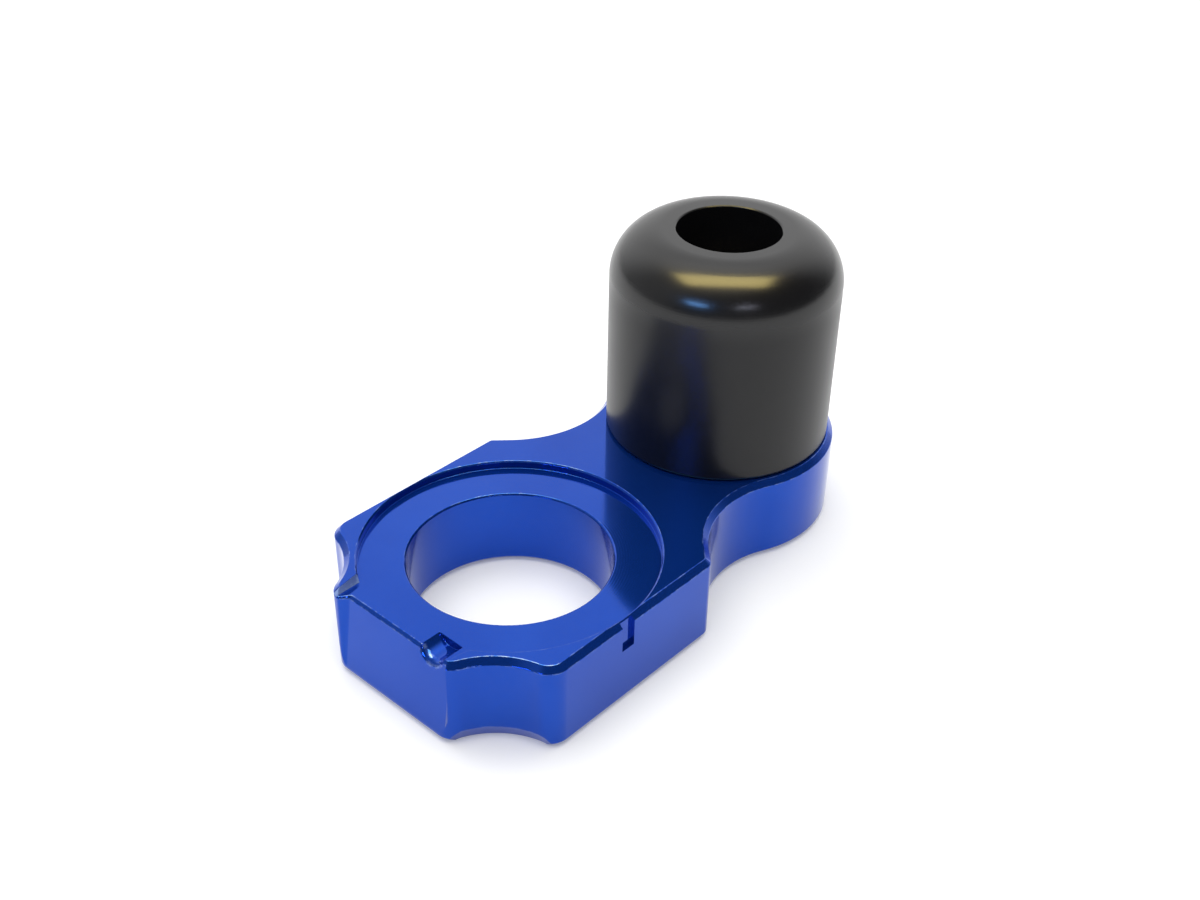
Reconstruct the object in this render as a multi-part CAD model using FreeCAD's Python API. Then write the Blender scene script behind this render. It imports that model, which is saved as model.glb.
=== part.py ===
import FreeCAD, Part
import math
import os
from FreeCAD import Vector

# Axle block with a crash slider bolted on its tail. Millimetres, Z along the axle,
# X from the axle towards the slider. The origin is the middle of the axle bore's wall.

# Axle bore
axle_diameter = 25.0
axle_clearance = 0.1
bore_front_chamfer = 0.2
bore_back_chamfer = 0.8

# Block
plate_thickness = 12.0
end_lean = 1.5
corner_length = 7.2
corner_width = 9.1
corner_hollow_radius = 10.0
corner_round = 2.8
corner_relief_height = 2.0
corner_relief_depth = 0.95
shoulder_distance = 14.9
shoulder_angle = 45.0
shoulder_round = 1.5
neck_radius = 14.0
tail_land = 0.15
edge_chamfer = 0.75

# Washer recess, open at the end face
recess_diameter = 36.6
recess_depth = 1.1
recess_rib = 0.8
recess_end_margin = 1.4
rim_chamfer = 0.2
channel_step = 0.65
end_chamfer = 0.4

# Groove in the end face and index notch in one side
groove_offset = 6.0
groove_radius = 2.2
groove_depth = 1.1
groove_length = 4.5
notch_width = 2.0
notch_depth = 0.5
notch_height = 4.2

# Crash slider
slider_distance = 39.5
slider_diameter = 30.0
slider_height = 28.5
slider_top_land = 1.55
slider_foot_chamfer = 0.4
slider_web = 8.0
mouth_chamfer = 0.15

# Cap screw and washer
thread_diameter = 8.0
thread_clearance = 0.1
shank_clearance = 0.5
screw_tip_gap = 2.0
screw_point_chamfer = 1.0
head_diameter = 13.0
head_height = 8.0
head_chamfer = 0.7
head_clearance = 0.4
socket_width = 6.0
socket_depth = 4.0
socket_chamfer = 0.4
washer_step = 0.15
washer_thickness = 2.0
washer_clearance = 0.2

# Levels and radii that follow from the sizes above
bore_radius = (axle_diameter + axle_clearance) / 2
recess_radius = recess_diameter / 2
half_width = recess_radius + recess_rib
end_distance = recess_radius + recess_end_margin
channel_half_width = half_width - corner_width - channel_step
floor_thickness = plate_thickness - recess_depth
back_level = -floor_thickness / 2
floor_level = floor_thickness / 2
top_level = back_level + plate_thickness
lean_level = back_level + edge_chamfer + end_chamfer

tapped_radius = (thread_diameter + thread_clearance) / 2
shank_hole_radius = (thread_diameter + shank_clearance) / 2
head_radius = head_diameter / 2
counterbore_radius = (head_diameter + head_clearance) / 2
slider_radius = slider_diameter / 2
slider_shoulder = slider_radius - counterbore_radius - mouth_chamfer - slider_top_land
tail_radius = slider_radius + tail_land + edge_chamfer
seat_level = top_level + slider_web
head_level = seat_level + washer_thickness
slider_top = top_level + slider_height
screw_tip = back_level + screw_tip_gap
over = 1.0

UP = Vector(0, 0, 1)


def at(level, x=0.0, y=0.0):
    return Vector(x, y, level)


def mirrored(point):
    return Vector(point.x, -point.y, point.z)


def cylinder(radius, bottom, top, x=0.0):
    return Part.makeCylinder(radius, top - bottom, at(bottom, x), UP)


def cone(bottom_radius, top_radius, bottom, top, x=0.0):
    return Part.makeCone(bottom_radius, top_radius, top - bottom, at(bottom, x), UP)


def turned(outline, x=0.0):
    # Turn a closed outline of (radius, level) points round the upright line at x.
    points = [at(level, x + radius) for radius, level in outline]
    face = Part.Face(Part.makePolygon(points + points[:1]))
    return face.revolve(at(0, x), UP, 360)


def edges_at(shape, test):
    return [edge for edge in shape.Edges if all(test(vertex.Point) for vertex in edge.Vertexes)]


def near(value, target):
    return abs(value - target) < 1e-4


def neck_centre(shoulder):
    # Centre of the hollow that touches both the slanted shoulder and the round tail.
    angle = math.radians(shoulder_angle)
    along = Vector(math.cos(angle), -math.sin(angle), 0)
    outward = Vector(math.sin(angle), math.cos(angle), 0)
    start = shoulder + outward * neck_radius
    offset = start - at(back_level, slider_distance)
    reach = tail_radius + neck_radius
    half = offset.dot(along)
    run = -half - math.sqrt(half ** 2 - offset.dot(offset) + reach ** 2)
    centre = start + along * run
    return centre, centre - outward * neck_radius


def block_outline():
    # One closed wire: end face, hollowed corners, side flats, shoulders, neck and round tail.
    tail = at(back_level, slider_distance)
    end = at(back_level, -end_distance, half_width - corner_width)
    side = at(back_level, corner_length - end_distance, half_width)
    chord = side - end
    inward = Vector(chord.y, -chord.x, 0).normalize()
    sagitta = corner_hollow_radius - math.sqrt(corner_hollow_radius ** 2 - chord.Length ** 2 / 4)
    hollow = (end + side) * 0.5 + inward * sagitta
    hollow_centre = hollow - inward * corner_hollow_radius

    shoulder = at(back_level, shoulder_distance, half_width)
    centre, neck_start = neck_centre(shoulder)
    neck_end = tail + (centre - tail).normalize() * tail_radius
    to_middle = (neck_start + neck_end) * 0.5 - centre
    neck_middle = centre + to_middle.normalize() * neck_radius
    tip = tail + Vector(tail_radius, 0, 0)

    def half(place):
        return [
            Part.Arc(place(end), place(hollow), place(side)).toShape(),
            Part.makeLine(place(side), place(shoulder)),
            Part.makeLine(place(shoulder), place(neck_start)),
            Part.Arc(place(neck_start), place(neck_middle), place(neck_end)).toShape(),
        ]

    end_edge = Part.makeLine(mirrored(end), end)
    tail_edge = Part.Arc(neck_end, tip, mirrored(neck_end)).toShape()
    edges = [end_edge, *half(Vector), tail_edge, *half(mirrored)]
    return Part.Wire(Part.__sortEdges__(edges)), (end, side, shoulder), hollow_centre


def upright_edges(shape, corner):
    def on_corner(point):
        return near(point.x, corner.x) and near(abs(point.y), corner.y)

    return [edge for edge in edges_at(shape, on_corner) if near(edge.Length, plate_thickness)]


def block_blank():
    outline, corners, hollow_centre = block_outline()
    blank = Part.Face(outline).extrude(UP * plate_thickness)
    for corner, radius in zip(corners, (corner_round, corner_round, shoulder_round)):
        blank = blank.makeFillet(radius, upright_edges(blank, corner))
    for level in (back_level, top_level):
        blank = blank.makeChamfer(edge_chamfer, edges_at(blank, lambda p: near(p.z, level)))
    wide = corner_hollow_radius + corner_relief_depth
    reliefs = [
        Part.makeCone(wide, corner_hollow_radius, corner_relief_height, centre, UP)
        for centre in (hollow_centre, mirrored(hollow_centre))
    ]
    return blank.cut(reliefs)


def recess_cutter():
    # A round pocket with a flared rim, led out by a straight channel whose end face leans in.
    pocket = cylinder(recess_radius, floor_level, top_level + over)
    flare = cone(recess_radius, recess_radius + rim_chamfer, top_level - rim_chamfer, top_level)
    outside = -end_distance - over
    start = -channel_half_width
    section = [
        at(lean_level, -end_distance, start),
        at(floor_level, end_lean - end_distance, start),
        at(floor_level, 0, start),
        at(top_level + over, 0, start),
        at(top_level + over, outside, start),
        at(lean_level, outside, start),
    ]
    channel = Part.Face(Part.makePolygon(section + section[:1])).extrude(Vector(0, 2 * channel_half_width, 0))
    return pocket.fuse([flare, channel])


def bore_cutter():
    shaft = cylinder(bore_radius, back_level - over, floor_level + over)
    back_rim = bore_radius + bore_back_chamfer
    back_cone = cone(back_rim, bore_radius, back_level, back_level + bore_back_chamfer)
    front_rim = bore_radius + bore_front_chamfer
    front_cone = cone(bore_radius, front_rim, floor_level - bore_front_chamfer, floor_level)
    return shaft.fuse([back_cone, front_cone])


def groove_cutter():
    start = at(floor_level + groove_radius - groove_depth, -end_distance - over, -groove_offset)
    return Part.makeCylinder(groove_radius, groove_length + over, start, Vector(1, 0, 0))


def notch_cutter():
    # A shallow upright notch with a square foot in the side flat at -Y.
    corner = at(top_level - notch_height, -notch_width / 2, -half_width - over)
    return Part.makeBox(notch_width, notch_depth + over, notch_height + over, corner)


def adjuster_plate():
    plate = block_blank().cut(recess_cutter())
    end_rim = edges_at(plate, lambda p: near(p.x, end_lean - end_distance) and near(p.z, floor_level))
    plate = plate.makeChamfer(end_chamfer, end_rim)
    tapped_hole = cylinder(tapped_radius, back_level - over, top_level + over, slider_distance)
    return plate.cut([bore_cutter(), groove_cutter(), notch_cutter(), tapped_hole])


def crash_slider():
    foot = slider_radius - slider_foot_chamfer
    blank = turned([
        (0, top_level),
        (foot, top_level),
        (slider_radius, top_level + slider_foot_chamfer),
        (slider_radius, slider_top),
        (0, slider_top),
    ], slider_distance)
    rim = edges_at(blank, lambda p: near(p.z, slider_top) and p.x > slider_distance + 1)
    blank = blank.makeFillet(slider_shoulder, rim)
    shank_hole = cylinder(shank_hole_radius, top_level - over, seat_level + over, slider_distance)
    counterbore = cylinder(counterbore_radius, seat_level, slider_top + over, slider_distance)
    wide = counterbore_radius + mouth_chamfer
    mouth = cone(counterbore_radius, wide, slider_top - mouth_chamfer, slider_top, slider_distance)
    return blank.cut([shank_hole, counterbore, mouth])


def slider_washer():
    ring = cylinder(head_radius - washer_step, seat_level, head_level, slider_distance)
    hole_radius = (thread_diameter + washer_clearance) / 2
    return ring.cut(cylinder(hole_radius, seat_level - over, head_level + over, slider_distance))


def slider_bolt():
    shank = thread_diameter / 2
    crown = head_level + head_height
    blank = turned([
        (0, screw_tip),
        (shank - screw_point_chamfer, screw_tip),
        (shank, screw_tip + screw_point_chamfer),
        (shank, head_level),
        (head_radius, head_level),
        (head_radius, crown - head_chamfer),
        (head_radius - head_chamfer, crown),
        (0, crown),
    ], slider_distance)
    corner_radius = socket_width / 2 / math.cos(math.pi / 6)
    floor = crown - socket_depth
    corners = [
        at(floor, slider_distance + corner_radius * math.cos(turn), corner_radius * math.sin(turn))
        for turn in (math.radians(60 * step) for step in range(6))
    ]
    socket = Part.Face(Part.makePolygon(corners + corners[:1])).extrude(UP * (socket_depth + over))
    mouth_radius = socket_width / 2 + socket_chamfer
    mouth = cone(socket_width / 2, mouth_radius, crown - socket_chamfer, crown, slider_distance)
    return blank.cut([socket, mouth])


pieces = {
    "adjuster_plate": adjuster_plate(),
    "crash_slider": crash_slider(),
    "slider_washer": slider_washer(),
    "slider_bolt": slider_bolt(),
}

os.makedirs("parts", exist_ok=True)
for name, shape in pieces.items():
    solid = shape.Solids[0]
    solid.exportStep(f"parts/{name}.step")
    box = solid.BoundBox
    print(name, len(shape.Solids), shape.isValid(), round(solid.Volume, 1),
          [round(value, 2) for value in (box.XMin, box.XMax, box.YMin, box.YMax, box.ZMin, box.ZMax)])
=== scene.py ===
import math

import bpy
import numpy as np
from mathutils import Matrix


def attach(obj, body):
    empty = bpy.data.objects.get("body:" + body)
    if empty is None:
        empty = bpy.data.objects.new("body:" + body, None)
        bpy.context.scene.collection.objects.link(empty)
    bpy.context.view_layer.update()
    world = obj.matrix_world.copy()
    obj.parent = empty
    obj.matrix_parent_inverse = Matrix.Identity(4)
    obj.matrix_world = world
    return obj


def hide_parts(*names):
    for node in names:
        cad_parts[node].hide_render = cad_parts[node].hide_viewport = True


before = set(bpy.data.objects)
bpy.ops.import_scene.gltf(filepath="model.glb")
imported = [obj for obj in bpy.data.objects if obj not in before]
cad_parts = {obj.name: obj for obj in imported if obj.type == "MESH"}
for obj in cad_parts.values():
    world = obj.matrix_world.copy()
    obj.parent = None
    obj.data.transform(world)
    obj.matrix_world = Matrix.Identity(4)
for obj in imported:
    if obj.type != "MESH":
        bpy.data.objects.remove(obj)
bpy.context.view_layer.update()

# Axle block with a crash slider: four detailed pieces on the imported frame, and a studio round them.
# The pieces' own sizes are in millimetres, in the frame of the part.
mm = 0.001


def unit(v):
    return v / np.maximum(np.linalg.norm(v, axis=-1, keepdims=True), 1e-12)


def smooth(x):
    # cubic ease from 0 to 1
    x = np.clip(x, 0.0, 1.0)
    return x * x * (3 - 2 * x)


def roundedPath(corners, reach, steps, most=0.47):
    # corners: (corner, column, 3). Each corner becomes a true arc, written as a rational
    # quadratic curve: start and end lie `reach` before and after the corner, the corner is the
    # middle control point and its weight is the sine of half the angle between the two sides.
    toPrev = np.roll(corners, 1, axis=0) - corners
    toNext = np.roll(corners, -1, axis=0) - corners
    room = most * np.minimum(np.linalg.norm(toPrev, axis=-1), np.linalg.norm(toNext, axis=-1))
    reach = np.broadcast_to(np.asarray(reach, float).reshape(len(corners), -1), room.shape)
    reach = np.minimum(reach, room)[..., None]
    a, b = unit(toPrev), unit(toNext)
    weight = np.sqrt(np.clip((1 - (a * b).sum(-1, keepdims=True)) / 2, 0, 1))
    start, end = corners + a * reach, corners + b * reach
    rows, masks = [], []
    for i, count in enumerate(steps):  # one pass per corner, whole columns at a time
        t = np.linspace(0, 1, count + 1)[:, None, None]
        q0, q1, q2 = (1 - t) ** 2, 2 * weight[i] * t * (1 - t), t ** 2
        rows.append((q0 * start[i] + q1 * corners[i] + q2 * end[i]) / (q0 + q1 + q2))
        masks.append(np.sin(np.pi * t[:, 0, 0]))  # highest in the middle of the round
    return np.concatenate(rows), np.concatenate(masks)


def gridFaces(rows, cols, wrapRows, wrapCols):
    # one quad for each neighbouring pair of rows and columns
    r = np.arange(rows if wrapRows else rows - 1)[:, None]
    c = np.arange(cols if wrapCols else cols - 1)[None, :]
    r2, c2 = (r + 1) % rows, (c + 1) % cols
    quads = [r * cols + c, r * cols + c2, r2 * cols + c2, r2 * cols + c]
    return np.stack(np.broadcast_arrays(*quads), -1).reshape(-1, 4)


def surfacePiece(name, grid, wrapRows=True, wrapCols=True, mask=None):
    # grid in mm: (row, column, 3). Points at one place are joined, so a pole closes to triangles.
    rows, cols = grid.shape[:2]
    points = grid.reshape(-1, 3)
    placesPerMm = 1e5
    key = np.round(points * placesPerMm).astype(np.int64)
    _, first, back = np.unique(key, axis=0, return_index=True, return_inverse=True)
    quads = back.reshape(-1)[gridFaces(rows, cols, wrapRows, wrapCols)]
    same = quads == np.roll(quads, -1, axis=1)
    whole = quads[same.sum(1) == 0]
    cut, cutSame = quads[same.sum(1) == 1], same[same.sum(1) == 1]
    tris = cut[~cutSame].reshape(-1, 3)
    points = points[first] * mm
    # the sum of signed tetrahedra tells whether the faces look outwards
    corner = np.concatenate([whole[:, [0, 1, 2]], whole[:, [0, 2, 3]], tris])
    p, q, s = points[corner[:, 0]], points[corner[:, 1]], points[corner[:, 2]]
    if (p * np.cross(q, s)).sum() < 0:
        whole, tris = whole[:, ::-1], tris[:, ::-1]
    mesh = bpy.data.meshes.new(name)
    mesh.from_pydata(points.tolist(), [], whole.tolist() + tris.tolist())
    if mask is not None:
        rub = np.broadcast_to(mask, (rows, cols)).reshape(-1)[first]
        layer = mesh.attributes.new("rub", "FLOAT", "POINT")
        layer.data.foreach_set("value", rub.astype(np.float32))
    mesh.polygons.foreach_set("use_smooth", np.ones(len(mesh.polygons), bool))
    mesh.update()
    piece = bpy.data.objects.new(name, mesh)
    bpy.context.scene.collection.objects.link(piece)
    return piece


def profileCorners(points):
    # (radius, level) pairs as one column of corners
    return np.array([[radius, 0, level] for radius, level in points])[:, None, :]


def turnedGrid(profile, axisX, turns):
    # profile (row, 3) as radius, unused, level: each point runs once round the upright line at axisX
    turn = np.linspace(0, 2 * np.pi, turns, endpoint=False)
    radius, level = profile[:, 0][:, None], profile[:, 2][:, None]
    x, y = axisX + radius * np.cos(turn), radius * np.sin(turn)
    return np.stack([x, y, np.broadcast_to(level, x.shape)], -1)


def evenNormals(mesh, limit):
    # a face corner's normal is the sum of the normals of the faces round its point, weighted by area;
    # faces turned away by more than the limit are left out, so flats stay flat and edges stay crisp
    point, size = np.empty(len(mesh.loops), np.int32), np.empty(len(mesh.polygons), np.int32)
    area, normal = np.empty(len(mesh.polygons)), np.empty(3 * len(mesh.polygons))
    mesh.loops.foreach_get("vertex_index", point)
    for label, values in (("loop_total", size), ("area", area), ("normal", normal)):
        mesh.polygons.foreach_get(label, values)
    face = np.repeat(np.arange(len(size)), size)
    order = np.argsort(point, kind="stable")
    point, normal = point[order], normal.reshape(-1, 3)[face[order]]
    push = normal * area[face[order]][:, None]
    total = push.copy()
    farthest, areaScale = 9, 1e6  # areas in square metres are tiny
    for shift in range(1, farthest + 1):  # corners at one point are neighbours in the sorted list
        close = (normal[shift:] * normal[:-shift]).sum(1) > math.cos(math.radians(limit))
        close &= point[shift:] == point[:-shift]
        total[shift:][close] += push[:-shift][close]
        total[:-shift][close] += push[shift:][close]
    corner = np.empty_like(total)
    corner[order] = unit(total * areaScale)
    mesh.normals_split_custom_set(corner.tolist())


def finishPiece(piece, node, material, sharp=38):
    evenNormals(piece.data, sharp)
    piece.data.materials.clear()
    piece.data.materials.append(material)
    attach(piece, "root")
    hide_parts(node)
    print("piece", piece.name, len(piece.data.vertices), "points")


def setOrLink(tree, socket, value):
    if isinstance(value, (int, float)):
        socket.default_value = value
    else:
        tree.links.new(value, socket)


def mathNode(tree, operation, *values):
    node = tree.nodes.new("ShaderNodeMath")
    node.operation = operation
    for socket, value in zip(node.inputs, values):
        setOrLink(tree, socket, value)
    return node.outputs[0]


def plus(tree, a, b):
    return mathNode(tree, "ADD", a, b)


def times(tree, a, b):
    return mathNode(tree, "MULTIPLY", a, b)


def noiseNode(tree, vector, scale, detail, rough=0.55):
    node = tree.nodes.new("ShaderNodeTexNoise")
    tree.links.new(vector, node.inputs["Vector"])
    for label, value in (("Scale", scale), ("Detail", detail), ("Roughness", rough)):
        setOrLink(tree, node.inputs[label], value)
    return node.outputs[0]


def mapNode(tree, value, fromLow, fromHigh, toLow=0.0, toHigh=1.0):
    node = tree.nodes.new("ShaderNodeMapRange")
    node.interpolation_type = "SMOOTHSTEP"
    tree.links.new(value, node.inputs["Value"])
    limits = (("From Min", fromLow), ("From Max", fromHigh), ("To Min", toLow), ("To Max", toHigh))
    for label, number in limits:
        node.inputs[label].default_value = number
    return node.outputs["Result"]


def vectorNode(tree, operation, vector, constant, output):
    node = tree.nodes.new("ShaderNodeVectorMath")
    node.operation = operation
    tree.links.new(vector, node.inputs[0])
    node.inputs[1].default_value = constant
    return node.outputs[output]


def newGroup(name, inputs, outputs):
    # each group reads a position and named numbers, and gives named numbers
    group = bpy.data.node_groups.new(name, "ShaderNodeTree")
    group.interface.new_socket("Position", in_out="INPUT", socket_type="NodeSocketVector")
    for way, labels in (("INPUT", inputs), ("OUTPUT", outputs)):
        for label in labels:
            group.interface.new_socket(label, in_out=way, socket_type="NodeSocketFloat")
    return group, group.nodes.new("NodeGroupInput").outputs, group.nodes.new("NodeGroupOutput").inputs


def buildSurfaceGrain():
    # two sizes of noise: broad patches for colour and gloss, fine grain for the bump height
    group, into, out = newGroup("surfaceGrain", ["Patch Scale", "Grain Scale"], ["Patches", "Grain"])
    patches = noiseNode(group, into["Position"], into["Patch Scale"], detail=4.0)
    grain = noiseNode(group, into["Position"], into["Grain Scale"], detail=2.0, rough=0.6)
    group.links.new(patches, out["Patches"])
    group.links.new(grain, out["Grain"])
    return group


def buildTurnedRings():
    # fine tool rings: a sine of the distance from an upright axis, broken up by noise
    group, into, out = newGroup("turnedRings", ["Axis X", "Ring Pitch"], ["Rings", "Level"])
    wanderStretch, wanderScale = (60, 60, 60), 5.0
    split = group.nodes.new("ShaderNodeSeparateXYZ")
    group.links.new(into["Position"], split.inputs[0])
    x = mathNode(group, "SUBTRACT", split.outputs[0], into["Axis X"])
    y, level = split.outputs[1], split.outputs[2]
    distance = mathNode(group, "SQRT", plus(group, times(group, x, x), times(group, y, y)))
    along = plus(group, distance, level)  # counts along faces and along walls alike
    phase = mathNode(group, "DIVIDE", along, into["Ring Pitch"])
    wave = mathNode(group, "SINE", times(group, phase, 2 * math.pi))
    stretched = vectorNode(group, "MULTIPLY", into["Position"], wanderStretch, 0)
    wander = noiseNode(group, stretched, wanderScale, detail=2.0)
    group.links.new(times(group, wave, wander), out["Rings"])
    group.links.new(level, out["Level"])
    return group


def buildEdgeRub():
    # bare metal shows where the piece's own edge mask is high and a patchy noise lets it
    group, into, out = newGroup("edgeRub", ["Edge Mask", "Amount"], ["Rub"])
    patchesPerMetre, bareFrom, bareTo = 1100.0, 0.42, 0.68
    patchy = noiseNode(group, into["Position"], patchesPerMetre, detail=4.0, rough=0.65)
    raised = times(group, into["Edge Mask"], mapNode(group, patchy, bareFrom, bareTo))
    allOver = mathNode(group, "SUBTRACT", into["Edge Mask"], 1.0)  # past 1 it is pale bare metal all over, which paints a reflection on the plate's channel walls
    raised = times(group, mathNode(group, "MAXIMUM", raised, allOver), into["Amount"])
    group.links.new(mathNode(group, "MINIMUM", raised, 1.0), out["Rub"])
    return group


def buildDust():
    # sparse pale specks: cells whose random value is low, drawn as small dots round the cell's point
    group, into, out = newGroup("dustSpecks", ["Cells Per Metre", "Share", "Dot"], ["Specks"])
    cells = group.nodes.new("ShaderNodeTexVoronoi")
    group.links.new(into["Position"], cells.inputs["Vector"])
    group.links.new(into["Cells Per Metre"], cells.inputs["Scale"])
    split = group.nodes.new("ShaderNodeSeparateColor")
    group.links.new(cells.outputs["Color"], split.inputs[0])
    chosen = mathNode(group, "LESS_THAN", split.outputs[0], into["Share"])
    dot = mathNode(group, "LESS_THAN", cells.outputs["Distance"], into["Dot"])
    group.links.new(times(group, chosen, dot), out["Specks"])
    return group


surfaceGrain, turnedRings = buildSurfaceGrain(), buildTurnedRings()
edgeRub, dustSpecks = buildEdgeRub(), buildDust()
colourRange, glossRange = (0.3, 0.7), (0.25, 0.75)  # parts of the patch noise that the mixes run over


def useGroup(tree, group, position, **values):
    node = tree.nodes.new("ShaderNodeGroup")
    node.node_tree = group
    tree.links.new(position, node.inputs["Position"])
    for label, value in values.items():
        setOrLink(tree, node.inputs[label.replace("_", " ")], value)
    return node.outputs


def newMaterial(name, look):
    # every look starts from its patches and its grain
    material = bpy.data.materials.new(name)
    material.use_nodes = True
    tree = material.node_tree
    coords = tree.nodes.new("ShaderNodeTexCoord").outputs["Object"]
    grain = useGroup(tree, surfaceGrain, coords, Patch_Scale=look["patchScale"],
                     Grain_Scale=look["grainScale"])
    return material, tree, tree.nodes["Principled BSDF"], coords, grain


def mixColour(tree, factor, low, high):
    node = tree.nodes.new("ShaderNodeMix")
    node.data_type = "RGBA"
    tree.links.new(factor, node.inputs["Factor"])
    for socket, value in ((node.inputs[6], low), (node.inputs[7], high)):
        if isinstance(value, tuple):
            socket.default_value = (*value, 1.0)
        else:
            tree.links.new(value, socket)
    return node.outputs[2]


def patchColour(tree, grain, low, high):
    return mixColour(tree, mapNode(tree, grain["Patches"], *colourRange), low, high)


def patchGloss(tree, grain, look):
    return mapNode(tree, grain["Patches"], *glossRange, look["glossy"], look["dull"])


def edgeWear(tree, coords, look):
    edge = tree.nodes.new("ShaderNodeAttribute")
    edge.attribute_name = "rub"
    return useGroup(tree, edgeRub, coords, Edge_Mask=edge.outputs["Fac"], Amount=look["rubAmount"])["Rub"]


def bumpInto(tree, shader, height, look):
    bump = tree.nodes.new("ShaderNodeBump")
    bump.inputs["Distance"].default_value = look["bumpDepth"]
    bump.inputs["Strength"].default_value = look["bumpStrength"]
    tree.links.new(height, bump.inputs["Height"])
    tree.links.new(bump.outputs[0], shader.inputs["Normal"])


def blueAnodised(look):
    material, tree, shader, coords, grain = newMaterial("blue anodised aluminium", look)
    rings = useGroup(tree, turnedRings, coords, Axis_X=0.0, Ring_Pitch=look["ringPitch"])
    rub = edgeWear(tree, coords, look)
    colour = patchColour(tree, grain, look["deepBlue"], look["lightBlue"])
    # rubbed places take the bare metal colour; on the channel walls it covers all and is a painted reflection
    tree.links.new(mixColour(tree, rub, colour, look["bareMetal"]), shader.inputs["Base Color"])
    # milled lines run level round the walls: noise squeezed along the height
    milled = noiseNode(tree, vectorNode(tree, "MULTIPLY", coords, look["milledScale"], 0), 1.0, detail=2.0)
    # turned rings show on the recess floor alone
    offFloor = mathNode(tree, "ABSOLUTE", mathNode(tree, "SUBTRACT", rings["Level"], look["floorLevel"]))
    onFloor = mapNode(tree, offFloor, *look["floorReach"], 1.0, 0.0)
    turned = times(tree, rings["Rings"], times(tree, onFloor, look["ringShare"]))
    lines = plus(tree, turned, times(tree, milled, look["milledShare"]))
    bumpInto(tree, shader, plus(tree, lines, times(tree, grain["Grain"], look["grainShare"])), look)
    # rubbed places are duller and scatter more light
    rubbed = plus(tree, patchGloss(tree, grain, look), times(tree, rub, look["rubDull"]))
    tree.links.new(rubbed, shader.inputs["Roughness"])
    change = look["rubMetallic"] - look["metallic"]
    tree.links.new(mathNode(tree, "MULTIPLY_ADD", rub, change, look["metallic"]), shader.inputs["Metallic"])
    shader.inputs["Specular IOR Level"].default_value = look["specular"]
    shader.inputs["Coat Weight"].default_value = look["coat"]
    shader.inputs["Coat Roughness"].default_value = look["coatRoughness"]
    shader.inputs["Coat IOR"].default_value = look["coatIor"]
    return material


def blackPlastic(look):
    material, tree, shader, coords, grain = newMaterial("black slider plastic", look)
    rings = useGroup(tree, turnedRings, coords, Axis_X=look["axisX"], Ring_Pitch=look["ringPitch"])
    dust = useGroup(tree, dustSpecks, coords, Cells_Per_Metre=look["dustCells"], Share=look["dustShare"],
                    Dot=look["dustDot"])
    colour = patchColour(tree, grain, look["black"], look["greyBlack"])
    tree.links.new(mixColour(tree, dust["Specks"], colour, look["dustColour"]), shader.inputs["Base Color"])
    turned = times(tree, rings["Rings"], look["ringShare"])
    bumpInto(tree, shader, plus(tree, turned, times(tree, grain["Grain"], look["grainShare"])), look)
    # the turned wall is duller than the polished shoulder and top
    change = (look["wallTop"], look["shoulderFrom"])
    wall = mapNode(tree, rings["Level"], *change, 1.0, 0.0)
    gloss = patchGloss(tree, grain, look)
    tree.links.new(mathNode(tree, "MULTIPLY_ADD", wall, look["wallDull"], gloss), shader.inputs["Roughness"])
    specular = mapNode(tree, rings["Level"], *change, look["wallSpecular"], look["shoulderSpecular"])
    tree.links.new(specular, shader.inputs["Specular IOR Level"])
    shader.inputs["IOR"].default_value = look["ior"]
    return material


def darkSteel(look):
    material, tree, shader, coords, grain = newMaterial("black oxide steel", look)
    colour = patchColour(tree, grain, look["black"], look["brownBlack"])
    rub = edgeWear(tree, coords, look)
    tree.links.new(mixColour(tree, rub, colour, look["bareMetal"]), shader.inputs["Base Color"])
    bumpInto(tree, shader, grain["Grain"], look)
    tree.links.new(patchGloss(tree, grain, look), shader.inputs["Roughness"])
    shader.inputs["Metallic"].default_value = look["metallic"]
    return material


def platedSteel(look):
    material, tree, shader, coords, grain = newMaterial("zinc plated steel", look)
    rings = useGroup(tree, turnedRings, coords, Axis_X=look["axisX"], Ring_Pitch=look["ringPitch"])
    tree.links.new(patchColour(tree, grain, look["zinc"], look["greyZinc"]), shader.inputs["Base Color"])
    bumpInto(tree, shader, plus(tree, rings["Rings"], times(tree, grain["Grain"], look["grainShare"])), look)
    tree.links.new(patchGloss(tree, grain, look), shader.inputs["Roughness"])
    shader.inputs["Metallic"].default_value = look["metallic"]
    return material


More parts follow.
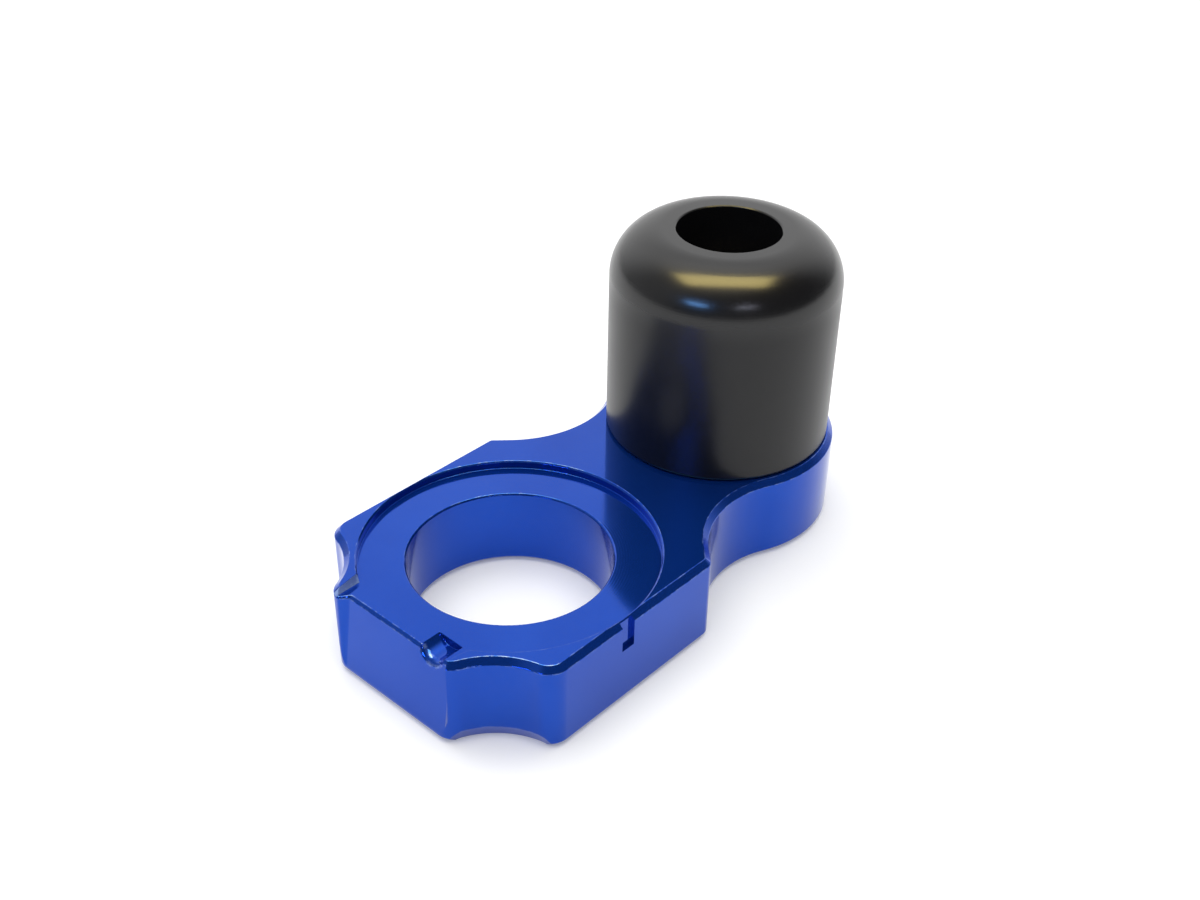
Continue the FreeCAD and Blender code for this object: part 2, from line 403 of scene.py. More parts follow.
# adjuster plate: a closed profile carried once round the block's outline
plate = dict(
    boreRadius=12.55, boreFrontChamfer=0.2, boreBackChamfer=0.8,
    back=-5.45, floor=5.45, top=6.55, leanLevel=-4.3, endLean=1.5, endChamfer=0.34,
    uprightFrom=7.9, uprightTo=9.2, uprightShare=0.85, uprightChamfer=0.5,
    endX=-19.7, halfWidth=19.1, cornerLength=7.2, cornerWidth=9.1, hollowRadius=10.0, cornerRound=2.8,
    reliefHeight=2.0, reliefDepth=0.95, reliefPast=3.0, reliefGap=0.08,
    shoulderX=14.9, shoulderAngle=45, shoulderRound=1.5, neckRadius=14.0, tailX=39.5, tailRadius=15.9,
    edgeChamfer=0.75, recessRadius=18.3, rimChamfer=0.2, rimShare=0.9, rimUntil=12.9, leastLand=0.05,
    channelHalf=9.35, stepFrom=8.05, stepRun=1.15, stepGaps=(0.02, 0.3), bareMost=0.6, footGap=0.4,
    grooveY=-6.0, grooveRadius=2.2, grooveDepth=1.1, grooveEndX=-15.2, grooveLip=0.56, grooveRound=0.36,
    grooveSoft=0.012, grooveFade=0.12,
    notchWidth=2.0, notchDepth=0.5, notchFoot=2.35, notchOver=1.0,
    tapRadius=4.05, tapOver=0.6, tapFlare=0.45, tapTurns=96, threadPitch=1.25, threadDepth=0.6, threadRows=10,
    # round and wear at each of the thirteen corners, and how bare the channel walls are: their pale colour is
    # partly a painted reflection
    rounds=(0.07, 0.07, 0.05, 0.06, 0.11, 0.11, 0.05, 0.14, 0.1, 0.11, 0.11, 0.11, 0.07), roundSteps=4,
    wear=(0.5, 0, 0.3, 1, 1, 1, 0, 0.6, 0.3, 1, 1, 0.4, 0.2), lipWearAndSheen=2.9,
    # columns along each stretch of the outline, and the gaps and angles that keep them apart
    columns=dict(end=12, groove=30, lip=14, firstRound=20, hollow=34, secondRound=22, side=40, shoulder=10,
                 slant=8, neck=30, tail=60),
    grooveGap=0.3, bedGap=0.25, wallGap=0.1, lipTurn=1.5, turnFade=6.0, waistTurn=29, pastTurn=18, pastRun=6.5,
)

mirror = np.array([1.0, -1.0])
# close columns at the groove's edge
nearEdge = np.array([-0.16, -0.09, -0.05, -0.025, 0.0, 0.025, 0.05, 0.09, 0.16])
# across the lip's upright wall: distance from the wall and share of the step
lipWall = np.array([[-0.26, 0.0], [-0.22, 0.012], [-0.19, 0.04], [-0.16, 0.1], [-0.09, 0.25], [0.0, 0.5],
                    [0.07, 0.75], [0.11, 0.9], [0.13, 0.955], [0.15, 0.988], [0.19, 1.0]])


def arcRun(centre, radius, start, end, count, outward):
    # points on an arc from one angle to another (the last is left to the next run) and their normals
    turn = np.radians(np.linspace(start, end, count, endpoint=False))
    ray = np.stack([np.cos(turn), np.sin(turn)], -1)
    return centre + radius * ray, outward * ray


def lineRun(start, end, count, normal):
    t = np.linspace(0, 1, count, endpoint=False)[:, None]
    return start + (end - start) * t, np.broadcast_to(np.array(normal, float), (count, 2))


def degreesOf(v):
    return math.degrees(math.atan2(v[1], v[0]))


def halfOutline(s):
    # the +Y half of the outline: end line, hollowed corner between two small rounds, side flat,
    # rounded shoulder, slanted line, hollow neck and round tail, each as points and outward normals
    count, r = s["columns"], s["cornerRound"]
    end = np.array([s["endX"], s["halfWidth"] - s["cornerWidth"]])
    side = np.array([s["endX"] + s["cornerLength"], s["halfWidth"]])
    chord = side - end
    inward = unit(np.array([chord[1], -chord[0]]))
    hollow = (end + side) / 2 - inward * math.sqrt(s["hollowRadius"] ** 2 - (chord @ chord) / 4)
    # the small rounds touch the hollow and the end line or the side flat
    reach = s["hollowRadius"] + r
    firstX, secondY = s["endX"] + r, s["halfWidth"] - r
    first = np.array([firstX, hollow[1] - math.sqrt(reach ** 2 - (firstX - hollow[0]) ** 2)])
    second = np.array([hollow[0] + math.sqrt(reach ** 2 - (secondY - hollow[1]) ** 2), secondY])

    # the neck touches the slanted line and the tail
    slant = math.radians(s["shoulderAngle"])
    along = np.array([math.cos(slant), -math.sin(slant)])
    outward = np.array([math.sin(slant), math.cos(slant)])
    shoulder, tail = np.array([s["shoulderX"], s["halfWidth"]]), np.array([s["tailX"], 0.0])
    begin = shoulder + outward * s["neckRadius"]
    offset = begin - tail
    half = offset @ along
    apart = s["tailRadius"] + s["neckRadius"]
    neck = begin + along * (-half - math.sqrt(half ** 2 - offset @ offset + apart ** 2))
    cut = s["shoulderRound"] * math.tan(slant / 2)
    shoulderCentre = shoulder + np.array([-cut, -s["shoulderRound"]])
    slantStart, slantEnd = shoulder + along * cut, neck - outward * s["neckRadius"]

    # the end line and the first round up to the lip's wall are sampled by their y
    wall = s["channelHalf"] + lipWall[:, 0]
    groove = abs(s["grooveY"])
    halfGroove = math.sqrt(s["grooveRadius"] ** 2 - (s["grooveRadius"] - s["grooveDepth"]) ** 2)
    halfBed = halfGroove - s["bedGap"]
    ys = np.concatenate([
        np.linspace(0, groove - halfGroove - s["grooveGap"], count["end"]),
        groove - halfGroove + nearEdge,
        groove + np.linspace(-halfBed, halfBed, count["groove"]),
        groove + halfGroove + nearEdge,
        np.linspace(groove + halfGroove + s["grooveGap"], wall[0] - s["wallGap"], count["lip"]),
        wall,
    ])
    lift = np.clip(ys - first[1], 0, None)
    depth = np.sqrt(r * r - np.minimum(lift, r * 0.99) ** 2)  # short of a full quarter turn
    endPoints = np.stack([first[0] - depth, ys], -1)
    endNormals = np.where((ys > first[1])[:, None], np.stack([-depth, lift], -1) / r, [-1.0, 0.0])

    lipTurn = degreesOf(endPoints[-1] - first) - s["lipTurn"]
    sideStart, sideEnd = (np.array([x, s["halfWidth"]]) for x in (second[0], shoulderCentre[0]))
    runs = [
        arcRun(first, r, lipTurn, degreesOf(hollow - first), count["firstRound"], 1),
        arcRun(hollow, s["hollowRadius"], degreesOf(first - hollow), degreesOf(second - hollow),
               count["hollow"], -1),
        arcRun(second, r, degreesOf(hollow - second), 90, count["secondRound"], 1),
        lineRun(sideStart, sideEnd, count["side"], (0, 1)),
        arcRun(shoulderCentre, s["shoulderRound"], 90, 90 - s["shoulderAngle"], count["shoulder"], 1),
        lineRun(slantStart, slantEnd, count["slant"], outward),
        arcRun(neck, s["neckRadius"], degreesOf(-outward), degreesOf(tail - neck), count["neck"], -1),
        arcRun(tail, s["tailRadius"], degreesOf(neck - tail), 0, count["tail"], 1),
    ]
    points = np.concatenate([endPoints] + [run[0] for run in runs] + [[tail + [s["tailRadius"], 0]]])
    normals = np.concatenate([endNormals] + [run[1] for run in runs] + [[[1.0, 0.0]]])
    return points, normals, hollow, len(ys)


def joinTurns(s, half, normals, endCount):
    # angle of the recess point that each outline point is joined to: straight behind it along the
    # channel, and past the lip the difference from its own angle fades with the run
    turn = np.arctan2(half[:, 1], half[:, 0])
    straight = np.pi - np.arcsin(np.clip(half[:, 1] / s["recessRadius"], -1, 1))
    run = np.concatenate([[0], np.cumsum(np.linalg.norm(np.diff(half, axis=0), axis=1))])
    last = endCount - 1
    turn = turn - (turn[last] - straight[last]) * np.exp(-np.clip(run - run[last], 0, None) / s["turnFade"])
    turn[:endCount] = straight[:endCount]
    # from the shoulder on, the angle falls evenly with the run, and faster past the neck's waist,
    # so no column leaves the land there
    turned = 0.02  # the normal has left the side flat's
    bend = np.argmax((normals[:, 0] > turned) & (half[:, 0] > 0))
    waist = bend + np.argmin(half[bend:-s["columns"]["tail"] - 1, 1])
    stops = [run[bend], run[waist], run[waist] + s["pastRun"], run[-1]]
    turn[bend:] = np.interp(run[bend:], stops, [turn[bend], *np.radians([s["waistTurn"], s["pastTurn"], 0])])
    return turn


def levelled(plan, level):
    return np.concatenate([plan, np.broadcast_to(np.asarray(level, float), len(plan))[:, None]], 1)


def reliefSizes(s, outline, hollow):
    # at the hollowed corners a flat cone eats into the ordinary lower chamfer: how far up it starts,
    # the height and depth of a point halfway down, and its depth at the underside
    chamfer, slope = s["edgeChamfer"], s["reliefDepth"] / s["reliefHeight"]
    centre = np.where(outline[:, 1:] >= 0, hollow, hollow * mirror)
    far = np.linalg.norm(outline - centre, axis=1) - s["hollowRadius"]
    atCorner = outline[:, 0] < s["endX"] + s["cornerLength"] + s["reliefPast"]
    bite = np.where(atCorner, np.clip(s["reliefDepth"] - far, 0, None), 0)
    topUp, footIn = np.maximum(chamfer, bite / slope), np.maximum(chamfer, bite)
    meet = np.clip((chamfer - bite) / (1 - slope), 0, chamfer)
    apart = (bite > chamfer * slope) & (bite < chamfer)
    midUp = np.where(apart, np.clip(meet, s["reliefGap"], topUp - s["reliefGap"]), topUp / 2)
    midIn = np.where(apart, np.maximum(chamfer - midUp, bite - slope * midUp), footIn / 2)
    return topUp, midUp, midIn, footIn


def lipCorners(s, outline, normal, ray):
    # recess wall's top, flared rim, land and edge chamfer, with a knife edge where the land runs out
    rimRadius = s["recessRadius"] + s["rimChamfer"]
    land = ((outline - normal * s["edgeChamfer"] - ray * rimRadius) * normal).sum(1)
    lost = np.clip((s["leastLand"] - land) / 2, 0, s["rimChamfer"] * s["rimShare"])
    lost = np.where(outline[:, 0] < s["rimUntil"], lost, 0)
    crest = s["top"] - lost
    return [
        levelled(ray * s["recessRadius"], s["top"] - s["rimChamfer"]),
        levelled(ray * (rimRadius - lost)[:, None], crest),
        levelled(outline - normal * (s["edgeChamfer"] - lost)[:, None], crest),
        levelled(outline, s["top"] - s["edgeChamfer"]),
    ]


def channelCorners(s, outline):
    # the recess floor runs out to the leaning end face, with the round groove sunk in it;
    # the bed is the soft minimum of the floor and the groove's arch
    y = outline[:, 1]
    arch = s["grooveRadius"] ** 2 - (y - s["grooveY"]) ** 2
    middle = s["floor"] + s["grooveRadius"] - s["grooveDepth"]
    sunk = np.where(arch > 0, middle - np.sqrt(np.clip(arch, 0, None)), s["floor"] + 1)
    soft = s["grooveSoft"]
    bed = -soft * np.logaddexp(-sunk / soft, -s["floor"] / soft)
    inGroove = smooth((s["floor"] - bed) / s["grooveFade"])
    # the lean and its chamfer fade towards the +Y lip
    upright = s["uprightShare"] * smooth((y - s["uprightFrom"]) / (s["uprightTo"] - s["uprightFrom"]))
    chamfer = s["endChamfer"] + (s["grooveLip"] - s["endChamfer"]) * inGroove
    chamfer = chamfer * (1 - s["uprightChamfer"] * upright)
    rise = s["floor"] - s["leanLevel"]

    def edgeX(z):
        lean = s["endX"] + s["endLean"] * (z - s["leanLevel"]) / rise
        return lean + upright * (outline[:, 0] - lean)

    # where the channel's floor meets the recess: behind the groove, and round to the recess wall
    meetX = -math.sqrt(s["recessRadius"] ** 2 - s["channelHalf"] ** 2)
    stepX = s["grooveEndX"] + (meetX - s["grooveEndX"]) * smooth((np.abs(y) - s["stepFrom"]) / s["stepRun"])
    lowEdge = bed - chamfer * math.cos(math.atan2(s["endLean"], rise))
    places = [(stepX - gap, bed) for gap in s["stepGaps"]]
    places += [(edgeX(bed) + chamfer, bed), (edgeX(lowEdge), lowEdge)]
    return [np.stack([x, y, z], -1) for x, z in places], stepX, inGroove


def plateCorners(s):
    # thirteen corner points for every outline point, from the bore's front rim out over the recess
    # and the edge, down the wall, back along the underside and up through the bore
    half, halfNormals, hollow, endCount = halfOutline(s)
    share = np.ones(len(half))  # 0 along the channel, 1 along the lip
    share[:endCount] = 0.0
    share[endCount - len(lipWall):endCount] = lipWall[:, 1]
    turn = joinTurns(s, half, halfNormals, endCount)

    rest = slice(-2, 0, -1)
    outline = np.concatenate([half, half[rest] * mirror])
    normal = np.concatenate([halfNormals, halfNormals[rest] * mirror])
    turn = np.concatenate([turn, -turn[rest]])
    share = np.concatenate([share, share[rest]])
    ray = np.stack([np.cos(turn), np.sin(turn)], -1)

    topUp, midUp, midIn, footIn = reliefSizes(s, outline, hollow)
    lip = lipCorners(s, outline, normal, ray)
    channel, stepX, inGroove = channelCorners(s, outline)
    inChannel = share < 1
    recess = np.where(inChannel[:, None], np.stack([stepX, outline[:, 1]], -1), ray * s["recessRadius"])
    lip[0][inChannel, :2] = recess[inChannel]
    mixed = [np.where(inChannel[:, None], low + share[:, None] * (high - low), high)
             for low, high in zip(channel, lip)]

    bore, back = s["boreRadius"], s["back"]
    # the leaning face meets the corner round higher up
    bare = np.clip(outline[:, 0] - s["endX"], 0, s["bareMost"])
    lean = s["leanLevel"] + bare * (s["floor"] - s["leanLevel"]) / s["endLean"]
    corners = np.stack([
        levelled(ray * (bore + s["boreFrontChamfer"]), s["floor"]),
        levelled(recess, s["floor"]),
        *mixed,
        levelled(outline, np.maximum(lean, back + topUp + s["footGap"])),
        levelled(outline, back + topUp),
        levelled(outline - normal * midIn[:, None], back + midUp),
        levelled(outline - normal * footIn[:, None], back),
        levelled(ray * (bore + s["boreBackChamfer"]), back),
        levelled(ray * bore, back + s["boreBackChamfer"]),
        levelled(ray * bore, s["floor"] - s["boreFrontChamfer"]),
    ])
    return corners, share, np.where(inChannel, inGroove, 0)


def threadGrid(radius, depth, pitch, low, high, axisX, turns, perPitch):
    # radius falls by a flat-topped wave whose phase is the height in pitches less the part of a turn
    levels = np.linspace(low, high, int((high - low) / pitch * perPitch) + 1)[:, None]
    turn = np.linspace(0, 2 * np.pi, turns, endpoint=False)[None, :]
    phase = (levels / pitch - turn / (2 * np.pi)) % 1.0
    steep, crest = 2.6, 0.15
    r = radius - depth * np.clip(np.abs(phase - 0.5) * steep - crest, 0, 1)
    return np.stack([axisX + r * np.cos(turn), r * np.sin(turn), np.broadcast_to(levels, r.shape)], -1)


def cutAway(piece, cutters):
    for cutter in cutters:
        carve = piece.modifiers.new("cut", "BOOLEAN")
        carve.operation, carve.solver, carve.object = "DIFFERENCE", "EXACT", cutter
    bpy.context.view_layer.update()
    cutMesh = bpy.data.meshes.new_from_object(piece.evaluated_get(bpy.context.evaluated_depsgraph_get()))
    piece.modifiers.clear()
    old = piece.data
    piece.data = cutMesh
    bpy.data.meshes.remove(old)
    cutMesh.name = piece.name
    for cutter in cutters:
        bpy.data.objects.remove(cutter)


def notchCutter(s):
    # index notch: a square-footed upright slot, as a loop carried inwards and closed at both ends
    r, low, high = s["notchWidth"] / 2, s["notchFoot"], s["top"] + s["notchOver"]
    loop = np.array([[-r, low], [r, low], [r, high], [-r, high]])
    centre = np.broadcast_to(loop.mean(0), loop.shape)
    outer, inner = -s["halfWidth"] - s["notchOver"], -s["halfWidth"] + s["notchDepth"]
    stations = [(outer, centre), (outer, loop), (inner, loop), (inner, centre)]
    slot = np.stack([np.stack([ring[:, 0], np.full(len(ring), y), ring[:, 1]], -1) for y, ring in stations])
    return surfacePiece("notch_cutter", slot, wrapRows=False)


def tapCutter(s):
    # tapped hole: a threaded rod with a pole at each end and a small countersink below
    low, high = s["back"] - s["tapOver"], s["top"] + s["tapOver"]
    rod = threadGrid(s["tapRadius"], s["threadDepth"], s["threadPitch"], low, high, s["tailX"], s["tapTurns"],
                     s["threadRows"])
    axis = np.array([s["tailX"], 0.0])
    offset = rod[..., :2] - axis
    flare = np.clip(s["back"] + s["tapFlare"] - rod[..., 2:], 0, None)
    wide = np.maximum(np.linalg.norm(offset, axis=-1, keepdims=True), s["tapRadius"] - s["tapFlare"] + flare)
    rod[..., :2] = axis + unit(offset) * wide
    poles = [levelled(np.broadcast_to(axis, (s["tapTurns"], 2)), level)[None] for level in (low, high)]
    return surfacePiece("tap_cutter", np.concatenate([poles[0], rod, poles[1]]), wrapRows=False)


def makePlate(s, material):
    corners, share, inGroove = plateCorners(s)
    everyColumn = np.ones_like(share)
    reach = np.outer(s["rounds"], everyColumn)
    reach[4:6] += (s["grooveRound"] - reach[4:6]) * inGroove  # the groove's mouth is rounded over
    rows, mask = roundedPath(corners, reach, [s["roundSteps"]] * len(corners))
    perCorner = s["roundSteps"] + 1
    wearAndSheen = np.outer(mask * np.repeat(s["wear"], perCorner), everyColumn)
    corner = np.arange(len(rows)) / perCorner
    floorRows, wallRows = (corner >= 2) & (corner < 4), (corner >= 2) & (corner < 5.3)
    onWall = (share > 0.02) & (share < 0.98)
    wearAndSheen[np.ix_(floorRows, share < 0.5)] = 0  # the channel floor has no edge there
    wearAndSheen[np.ix_(wallRows, onWall)] = s["lipWearAndSheen"]  # the channel's side walls are bare all over: a duller finish, with a pale colour that is a painted reflection
    piece = surfacePiece("adjuster_block", rows, mask=wearAndSheen)
    cutAway(piece, [notchCutter(s), tapCutter(s)])
    finishPiece(piece, "adjuster_plate", material)


# bareMetal is the worn edges' colour and also the channel walls' painted reflection
blueLook = dict(
    deepBlue=(0.003, 0.055, 0.415), lightBlue=(0.005, 0.065, 0.455), bareMetal=(0.30, 0.42, 0.75),
    metallic=0.76, specular=0.25, glossy=0.07, dull=0.11, coat=0.22, coatRoughness=0.03, coatIor=1.5,
    rubAmount=0.45, rubMetallic=0.25, rubDull=0.15,
    patchScale=70.0, grainScale=14000.0, milledScale=(300, 300, 12000), ringPitch=0.00032,
    floorLevel=0.00545, floorReach=(0.00001, 0.00004),
    ringShare=1.0, milledShare=0.5, grainShare=0.35, bumpDepth=0.000004, bumpStrength=0.35,
)
makePlate(plate, blueAnodised(blueLook))

# crash slider: one turned profile, with the round and its steps at each of the eight corners
slider = dict(
    axisX=39.5, foot=6.55, top=35.05, radius=15.0, footChamfer=0.4,
    boreRadius=6.7, mouthChamfer=0.15, seat=14.55, shankHole=4.25, turns=256,
    rounds=(0.1, 0.12, 0.2, 6.6, 0.06, 0.06, 0.3, 0.15), steps=(3, 4, 5, 40, 4, 4, 5, 4), roundShare=0.9,
)


def makeSlider(s, material):
    # foot ring, wall, quarter-round shoulder, top ring, bore, screw seat and shank hole
    radius, bore, foot, top = s["radius"], s["boreRadius"], s["foot"], s["top"]
    corners = profileCorners([
        (s["shankHole"], foot), (radius - s["footChamfer"], foot), (radius, foot + s["footChamfer"]),
        (radius, top), (bore + s["mouthChamfer"], top), (bore, top - s["mouthChamfer"]),
        (bore, s["seat"]), (s["shankHole"], s["seat"]),
    ])
    rows, _ = roundedPath(corners, s["rounds"], s["steps"], s["roundShare"])
    piece = surfacePiece("crash_bobbin", turnedGrid(rows[:, 0], s["axisX"], s["turns"]))
    finishPiece(piece, "crash_slider", material)


plasticLook = dict(
    black=(0.004, 0.004, 0.005), greyBlack=(0.006, 0.006, 0.007), glossy=0.22, dull=0.25, ior=1.46,
    wallTop=0.026, shoulderFrom=0.031, wallDull=0.09, wallSpecular=0.42, shoulderSpecular=0.62,
    axisX=0.0395, ringPitch=0.00022, ringShare=0.6, grainShare=0.5, bumpDepth=0.000005, bumpStrength=0.4,
    patchScale=120.0, grainScale=6000.0,
    dustCells=420.0, dustShare=0.012, dustDot=0.05, dustColour=(0.35, 0.36, 0.38),
)
makeSlider(slider, blackPlastic(plasticLook))

# cap screw: one skin from the socket to the tip
screw = dict(
    axisX=39.5, tip=-3.45, seat=16.55, crown=24.55,
    headRadius=6.5, headChamfer=0.7, plainInset=0.14, seatInset=0.28,
    threadRadius=4.0, pitch=1.25, threadDepth=0.6, threadTop=10.0, threadRows=12, runOut=1.0,
    pointChamfer=1.0, tipGap=0.02, tipShare=0.97,
    socketWidth=6.0, socketDepth=4.0, socketMouth=0.4, knurls=48, knurlDepth=0.12, turns=192,
    wornRings=(5, 6, 8, 9, 13, 14), sharp=30,
)


def makeScrew(s, material):
    turn = np.linspace(0, 2 * np.pi, s["turns"], endpoint=False)
    hexagon = s["socketWidth"] / 2 / np.cos((turn % (np.pi / 3)) - np.pi / 6)
    mouth = s["socketWidth"] / 2 + s["socketMouth"]
    wide = np.maximum(mouth, hexagon)
    teeth = np.abs((turn * s["knurls"] / (2 * np.pi)) % 1 - 0.5) * 2
    knurled = s["headRadius"] - s["knurlDepth"] * teeth
    plain, face = s["headRadius"] - s["plainInset"], s["headRadius"] - s["headChamfer"]
    shank, crown, seat = s["threadRadius"], s["crown"], s["seat"]
    floor, low = crown - s["socketDepth"], crown - s["headChamfer"]

    def ring(radius, level):
        r = np.broadcast_to(radius, turn.shape)
        return np.stack([s["axisX"] + r * np.cos(turn), r * np.sin(turn), np.broadcast_to(level, turn.shape)], -1)

    # radius and level of each ring: drill cone, socket, crown, knurled side, seat and plain shank
    upper = [ring(*place) for place in (
        (0, floor - 0.5), (hexagon * 0.3, floor - 0.35), (hexagon * 0.92, floor),
        (hexagon, floor + 0.08), (hexagon, crown - np.maximum(mouth - hexagon, 0) - 0.03),
        (wide, crown - 0.02), (wide + 0.06, crown), (face - 0.15, crown), (face + 0.06, crown - 0.05),
        (plain, low + 0.1), (knurled, low - 0.15), (knurled, seat + 0.9), (plain, seat + 0.55),
        (plain, seat + 0.15), (s["headRadius"] - s["seatInset"], seat), (shank + 0.15, seat),
        (shank, seat - 0.12), (shank, s["threadTop"] + 0.35),
    )]

    thread = threadGrid(shank, s["threadDepth"], s["pitch"], s["tip"] + s["tipGap"], s["threadTop"], s["axisX"],
                        s["turns"], s["threadRows"])[::-1]
    axis = np.array([s["axisX"], 0.0])
    offset, level = thread[..., :2] - axis, thread[..., 2:]
    fadeIn = smooth((s["threadTop"] - level) / s["runOut"])  # the thread fades in below the plain shank
    pointed = shank - s["pointChamfer"] + np.clip(level - s["tip"], 0, None)
    radius = shank + (np.linalg.norm(offset, axis=-1, keepdims=True) - shank) * fadeIn
    radius = np.minimum(radius, pointed)
    thread[..., :2] = axis + unit(offset) * radius
    tip = [ring(radius[-1, :, 0] * s["tipShare"], s["tip"]), ring(0, s["tip"])]

    grid = np.concatenate([upper, thread, tip])
    rub = np.zeros(len(grid))
    rub[list(s["wornRings"])] = 1.0
    piece = surfacePiece("cap_screw", grid, wrapRows=False, mask=rub[:, None])
    finishPiece(piece, "slider_bolt", material, s["sharp"])


steelLook = dict(
    black=(0.035, 0.036, 0.040), brownBlack=(0.055, 0.052, 0.050), bareMetal=(0.42, 0.42, 0.43),
    metallic=1.0, glossy=0.3, dull=0.46, patchScale=300.0, grainScale=9000.0,
    bumpDepth=0.000008, bumpStrength=0.4, rubAmount=0.35,
)
makeScrew(screw, darkSteel(steelLook))

# washer: a flat ring with rounded edges
washer = dict(
    axisX=39.5, low=14.55, high=16.55, outer=6.35, inner=4.1,
    outerRound=0.25, innerRound=0.08, steps=(3, 5, 5, 3), turns=128,
)


def makeWasher(s, material):
    corners = profileCorners([
        (s["inner"], s["low"]), (s["outer"], s["low"]), (s["outer"], s["high"]), (s["inner"], s["high"]),
    ])
    rounds = [s["innerRound"], s["outerRound"], s["outerRound"], s["innerRound"]]
    rows, _ = roundedPath(corners, rounds, s["steps"])
    piece = surfacePiece("seat_washer", turnedGrid(rows[:, 0], s["axisX"], s["turns"]))
    finishPiece(piece, "slider_washer", material)


zincLook = dict(
    zinc=(0.58, 0.58, 0.57), greyZinc=(0.47, 0.48, 0.50), metallic=1.0, glossy=0.22, dull=0.38,
    axisX=0.0395, ringPitch=0.00025, patchScale=400.0, grainScale=9000.0, grainShare=0.7,
    bumpDepth=0.000006, bumpStrength=0.4,
)
makeWasher(washer, platedSteel(zincLook))

# studio: a white table in a dim room with a wide pale wall on the far side, a dimmer one on the left
# and a soft ceiling
studio = dict(
    floorLevel=-5.45, floorSize=3.0, floorPoints=9,
    floorColour=(0.88, 0.88, 0.88), floorTint=(0.86, 0.865, 0.87), floorRoughness=0.8, floorSpecular=0.1,
    patchScale=6.0, grainScale=1500.0, tableGlow=0.17,
    ambient=0.10, farSide=1.08, farAxis=(0.67, 0.60, 0.43), farFrom=0.28, farTo=0.86,
    leftSide=0.36, leftAxis=(-0.55, 0.62, 0.56), leftFrom=0.55, leftTo=0.97,
    overhead=0.7, overheadFrom=0.72, overheadTo=0.98,
)
white = (1.0, 1.0, 1.0)
sliderSpot = (0.0395, 0, 0.03)
panels = [
    dict(name="ceiling fill", place=(0.05, 0.05, 1.4), target=(0.02, 0, 0), size=(1.8, 1.8), radiance=1.4,
         colour=white, fill=True),
    dict(name="front fill", place=(-0.9, -0.8, 0.9), target=(0.0, 0, 0), size=(1.2, 1.0), radiance=1.25,
         colour=white, fill=True),
    dict(name="warm ceiling panel", place=(-0.05, -0.05, 0.75), target=sliderSpot, size=(0.85, 0.31),
         radiance=9.5, colour=(1.0, 0.80, 0.27), fill=False),
    dict(name="cool window", place=(-0.986, -0.172, 0.52), target=sliderSpot, size=(0.36, 0.08),
         radiance=30.0, colour=(0.17, 0.44, 1.0), fill=False),
    dict(name="pale window", place=(-0.479, -0.843, 0.52), target=sliderSpot, size=(0.30, 0.06),
         radiance=10.0, colour=(0.78, 0.82, 1.0), fill=False),
]
# the photo's frame is 1200 pixels wide; the angles say where the camera stands round the block
shot = dict(
    frameWidth=1200, focalPixels=1464.206, sensorWidth=36.0, clip=(0.01, 20),
    aim=(15.0, 0, 15.0), distance=180.246, elevation=34.282, azimuth=41.875, roll=1.005,
    shift=(0.416, 2.440), scale=1.016, drop=-4.96,
)


def makeFloor(s):
    edge = s["floorSize"] / mm / 2
    line = np.linspace(-edge, edge, s["floorPoints"])
    x, y = np.meshgrid(line, line, indexing="ij")
    floor = surfacePiece("floor", np.stack([x, y, np.full_like(x, s["floorLevel"])], -1), False, False)
    material, tree, shader, _, grain = newMaterial("white table", s)
    colour = mixColour(tree, grain["Patches"], s["floorColour"], s["floorTint"])
    tree.links.new(colour, shader.inputs["Base Color"])
    shader.inputs["Roughness"].default_value = s["floorRoughness"]
    shader.inputs["Specular IOR Level"].default_value = s["floorSpecular"]
    # a faintly lit table keeps its shadows pale
    shader.inputs["Emission Color"].default_value = (*white, 1.0)
    shader.inputs["Emission Strength"].default_value = s["tableGlow"]
    floor.data.materials.append(material)


def makeWorld(s):
    world = bpy.data.worlds.new("studio")
    bpy.context.scene.world = world
    world.use_nodes = True
    tree = world.node_tree
    background = tree.nodes["Background"]
    direction = tree.nodes.new("ShaderNodeTexCoord").outputs["Generated"]

    def wall(side):
        facing = vectorNode(tree, "DOT_PRODUCT", direction, s[side + "Axis"], "Value")
        return mapNode(tree, facing, s[side + "From"], s[side + "To"], 0.0, s[side + "Side"])

    split = tree.nodes.new("ShaderNodeSeparateXYZ")
    tree.links.new(direction, split.inputs[0])
    ceiling = mapNode(tree, split.outputs[2], s["overheadFrom"], s["overheadTo"], 0.0, s["overhead"])
    total = plus(tree, plus(tree, plus(tree, wall("far"), wall("left")), ceiling), s["ambient"])
    seen = tree.nodes.new("ShaderNodeLightPath").outputs["Is Camera Ray"]  # the backdrop itself looks white
    tree.links.new(mathNode(tree, "MAXIMUM", total, seen), background.inputs["Strength"])
    background.inputs["Color"].default_value = (*white, 1.0)


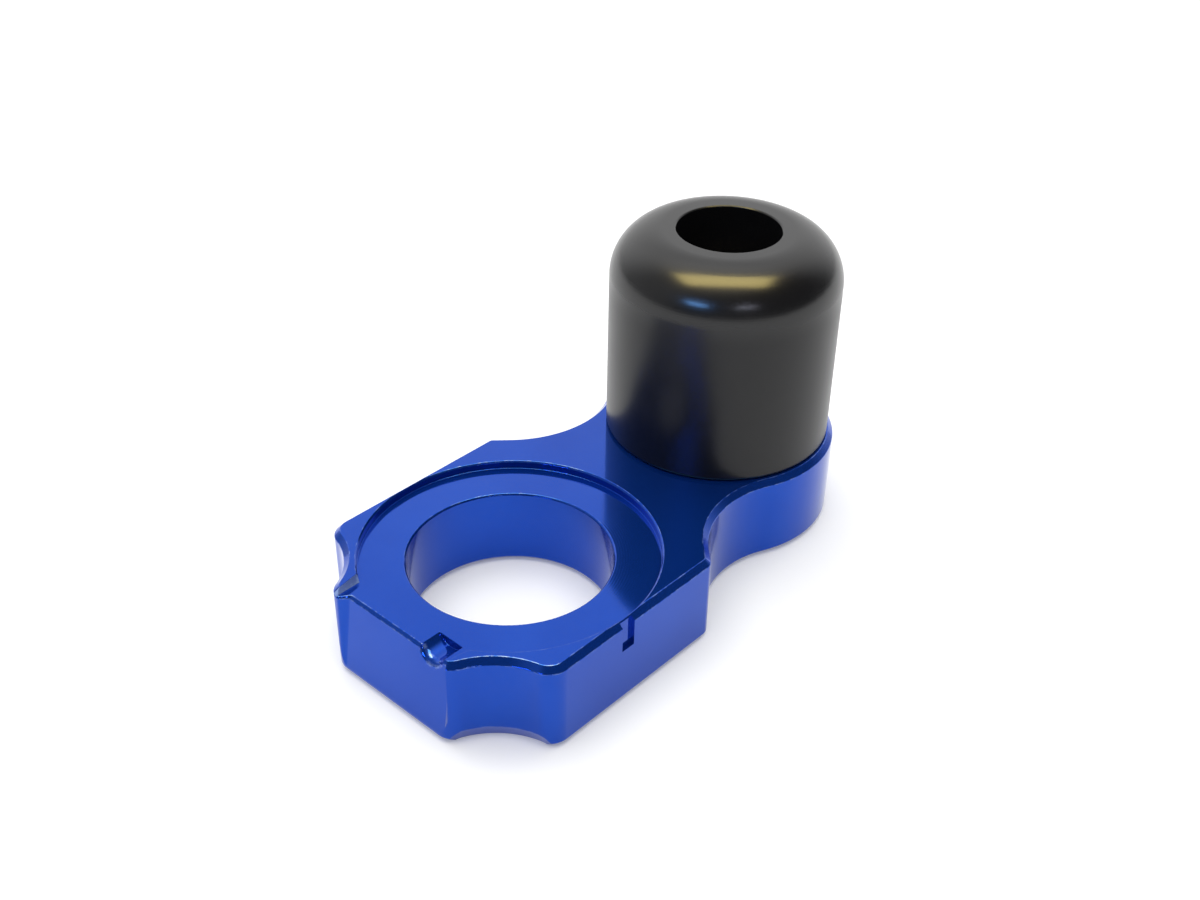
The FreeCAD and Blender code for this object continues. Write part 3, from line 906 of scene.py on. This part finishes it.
def standing(right, up, back, place):
    # a matrix whose columns are the three axes and the place
    rows = np.eye(4)
    rows[:3] = np.stack([right, up, back, place], -1)
    return Matrix(rows.tolist())


def makePanel(name, place, target, size, radiance, colour, fill):
    # a flat panel of even radiance: its power is radiance times pi times area. A fill lights the rough
    # surfaces alone, and the others show in reflections alone.
    data = bpy.data.lights.new(name, "AREA")
    data.shape, data.size, data.size_y = "RECTANGLE", size[0], size[1]
    data.energy = radiance * math.pi * size[0] * size[1]
    data.color = colour
    panel = bpy.data.objects.new(name, data)
    bpy.context.scene.collection.objects.link(panel)
    place = np.array(place, float)
    back = unit(place - np.array(target, float))
    # a panel overhead needs another axis than upright
    levelAxis, steepest = np.array([0.744, 0.667, 0]), 0.95
    helper = np.array([0, 0, 1.0]) if abs(back[2]) < steepest else unit(levelAxis)
    right = unit(np.cross(helper, back))
    panel.matrix_world = standing(right, np.cross(back, right), back, place)
    panel.visible_diffuse, panel.visible_glossy, panel.visible_camera = fill, not fill, False


def makeCamera(s):
    az, el, roll = (math.radians(s[key]) for key in ("azimuth", "elevation", "roll"))
    back = np.array([-math.cos(az) * math.cos(el), -math.sin(az) * math.cos(el), math.sin(el)])
    right = unit(np.cross([0, 0, 1.0], back))
    up = np.cross(back, right)
    place = np.array(s["aim"]) + s["shift"][0] * right + s["shift"][1] * up + s["distance"] * back
    place = (place * s["scale"] + [0, 0, s["drop"]]) * mm
    data = bpy.data.cameras.new("photo camera")
    data.sensor_width = s["sensorWidth"]
    data.lens = s["focalPixels"] * s["sensorWidth"] / s["frameWidth"]
    data.clip_start, data.clip_end = s["clip"]
    camera = bpy.data.objects.new("photo camera", data)
    bpy.context.scene.collection.objects.link(camera)
    rolledRight = math.cos(roll) * right + math.sin(roll) * up
    rolledUp = -math.sin(roll) * right + math.cos(roll) * up
    camera.matrix_world = standing(rolledRight, rolledUp, back, place)
    bpy.context.scene.camera = camera


makeFloor(studio)
makeWorld(studio)
makeCamera(shot)
for panel in panels:
    makePanel(**panel)
bpy.context.scene.view_settings.view_transform = "Standard"
print("studio ready")
